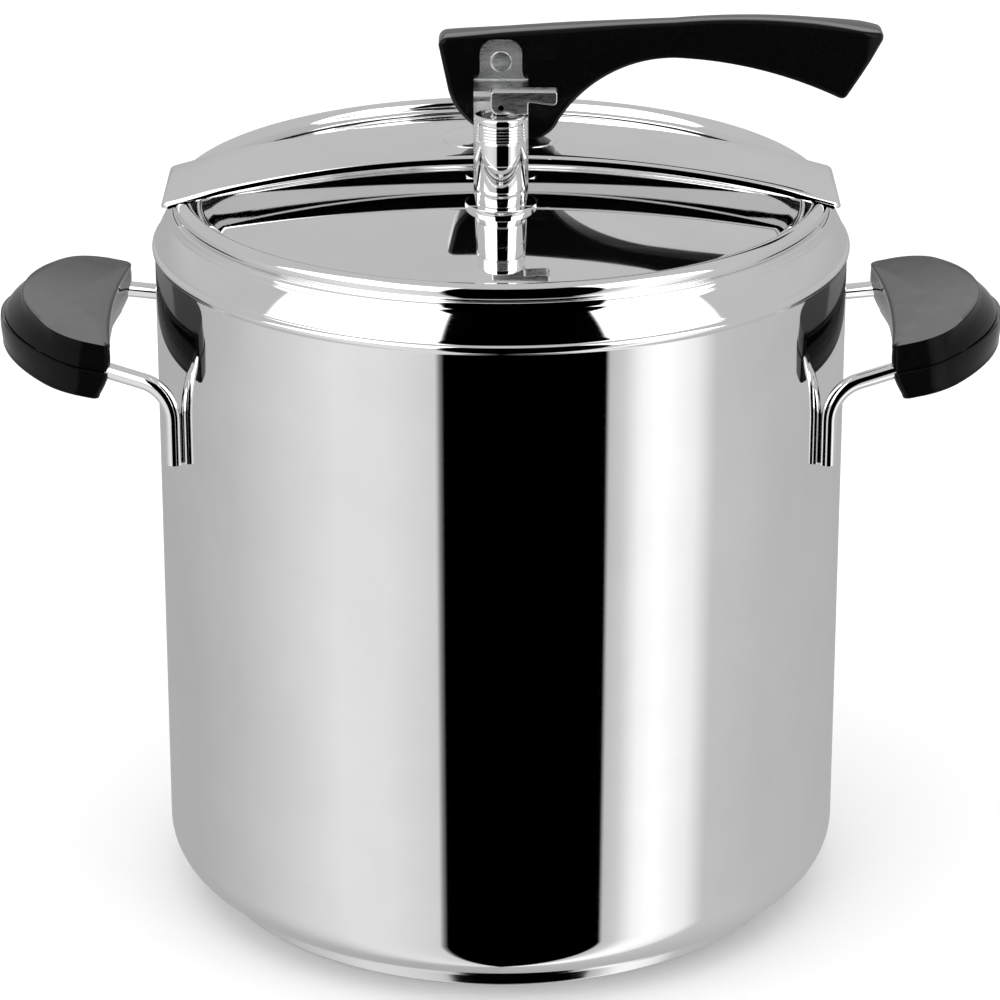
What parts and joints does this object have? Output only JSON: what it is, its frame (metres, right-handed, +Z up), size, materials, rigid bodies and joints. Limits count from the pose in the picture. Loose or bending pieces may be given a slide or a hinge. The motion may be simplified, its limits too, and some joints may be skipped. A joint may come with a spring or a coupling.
{
  "type": "stovetop pressure cooker",
  "caption": "Tall round stovetop pressure cooker: an inside-fitting domed lid hung from an arched bridge and drawn up by a cam lever, with a toggle steam valve and two looped side handles.",
  "frame": {"origin": "centre of the base's underside, where it stands on the stove", "axes": "+Z up; +X along the bridge, towards the lever's free end, with a side handle at each end of X; -Y towards the side with the steam valve"},
  "size_m": [0.3242, 0.2244, 0.2933],
  "materials": {
    "polished_steel": "mirror-polished stainless steel",
    "base_steel": "brushed stainless steel",
    "aluminium_core": "cast aluminium",
    "bright_rod": "polished",
    "plated_screw": "plated",
    "bush_steel": "turned",
    "valve_chrome": "chrome plated",
    "spring_steel": "drawn wire",
    "brass_piston": "turned brass",
    "black_bakelite": "gloss black bakelite",
    "gasket_rubber": "black silicone rubber"
  },
  "bodies": {
    "pot": {"pot_shell": "polished_steel", "base_core": "aluminium_core", "base_cap": "base_steel", "left_handle_rod": "bright_rod", "right_handle_rod": "bright_rod", "left_grip_upper": "black_bakelite", "left_grip_lower": "black_bakelite", "left_grip_screws": "plated_screw", "right_grip_upper": "black_bakelite", "right_grip_lower": "black_bakelite", "right_grip_screws": "plated_screw"},
    "bridge": {"bridge": "polished_steel"},
    "lid": {"lid_disc": "polished_steel", "lid_gasket": "gasket_rubber", "stirrup": "polished_steel", "pivot_pin": "bright_rod", "centre_stud": "bright_rod", "centre_washer": "base_steel", "centre_nut": "base_steel", "valve_body": "valve_chrome", "valve_base_ring": "valve_chrome", "valve_collar": "valve_chrome", "valve_seal": "gasket_rubber", "valve_lock_nut": "base_steel", "vent_spring": "spring_steel", "safety_body": "valve_chrome", "safety_spring": "spring_steel", "safety_seal": "gasket_rubber", "safety_lock_nut": "base_steel"},
    "lever": {"lever_handle": "black_bakelite", "lever_bush": "bush_steel"},
    "vent_stem": {"vent_stem": "valve_chrome", "vent_plug": "gasket_rubber", "vent_toggle_pin": "bright_rod"},
    "vent_toggle": {"vent_toggle": "valve_chrome"},
    "safety_piston": {"safety_piston": "brass_piston"}
  },
  "joints": [
    {"name": "lid_lift", "type": "slide", "parent": "pot", "child": "bridge", "axis": [0, 0, 1], "range_m": [0, 0.15], "deforming": ["lid_gasket"]},
    {"name": "lid_drop", "type": "slide", "parent": "bridge", "child": "lid", "axis": [0, 0, -1], "range_m": [0, 0.00791]},
    {"name": "lever_swing", "type": "hinge", "parent": "lid", "child": "lever", "pos_m": [0, 0, 0.281], "axis": [0, -1, 0], "range_deg": [0, 77.4]},
    {"name": "vent_lift", "type": "slide", "parent": "lid", "child": "vent_stem", "axis": [0, 0, 1], "range_m": [0, 0.00101], "deforming": ["vent_spring"]},
    {"name": "vent_toggle_swing", "type": "hinge", "parent": "vent_stem", "child": "vent_toggle", "pos_m": [0, -0.0365, 0.2746], "axis": [0, -1, 0], "range_deg": [0, 90]},
    {"name": "safety_rise", "type": "slide", "parent": "lid", "child": "safety_piston", "axis": [0, 0, 1], "range_m": [0, 0.003], "stiffness_N_per_m": 600, "springref_m": -0.002, "deforming": ["safety_spring"]}
  ],
  "couplings": [
    {"joint": "lid_drop", "follows": "lever_swing", "m_per_rad": 0.00585},
    {"joint": "vent_lift", "follows": "vent_toggle_swing", "m_per_rad": 0.00063662}
  ]
}
